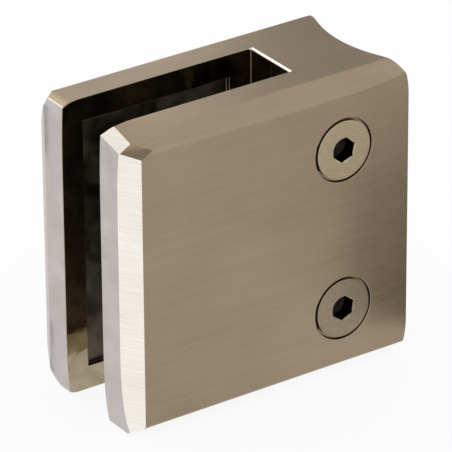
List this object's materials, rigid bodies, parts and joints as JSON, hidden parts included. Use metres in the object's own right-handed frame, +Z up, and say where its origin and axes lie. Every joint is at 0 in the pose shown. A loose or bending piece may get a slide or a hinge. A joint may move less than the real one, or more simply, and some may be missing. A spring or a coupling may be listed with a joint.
{
  "type": "glass panel clamp",
  "caption": "Square clamp that grips the edge of a glass panel between a fixed jaw and a screwed cover plate, with a saddle that seats it against a round post.",
  "frame": {"origin": "middle of the underside of the block's bounding box", "axes": "+X from the open end of the glass slot to the post, +Y through the glass from the cover plate to the fixed jaw, +Z up along the post"},
  "size_m": [0.0568, 0.0294, 0.055],
  "materials": {
    "satin_nickel": "brushed satin nickel on a zinc casting",
    "screw_steel": "turned steel, satin nickel"
  },
  "bodies": {
    "casting": {"body": "satin_nickel"},
    "cover": {"cover_plate": "satin_nickel"},
    "upper_screw": {"screw_upper": "screw_steel"},
    "lower_screw": {"screw_lower": "screw_steel"}
  },
  "joints": [
    {"name": "cover_slide", "type": "slide", "parent": "casting", "child": "cover", "axis": [0, -1, 0], "range_m": [0, 0.008]},
    {"name": "upper_screw_turn", "type": "hinge", "parent": "cover", "child": "upper_screw", "pos_m": [0.01466, -0.0147, 0.0425], "axis": [0, -1, 0], "range_deg": [0, 2880]},
    {"name": "lower_screw_turn", "type": "hinge", "parent": "cover", "child": "lower_screw", "pos_m": [0.01466, -0.0147, 0.0125], "axis": [0, -1, 0], "range_deg": [0, 2880]}
  ],
  "couplings": [
    {"joint": "upper_screw_turn", "follows": "cover_slide", "rad_per_m": 6283.2},
    {"joint": "lower_screw_turn", "follows": "cover_slide", "rad_per_m": 6283.2}
  ]
}
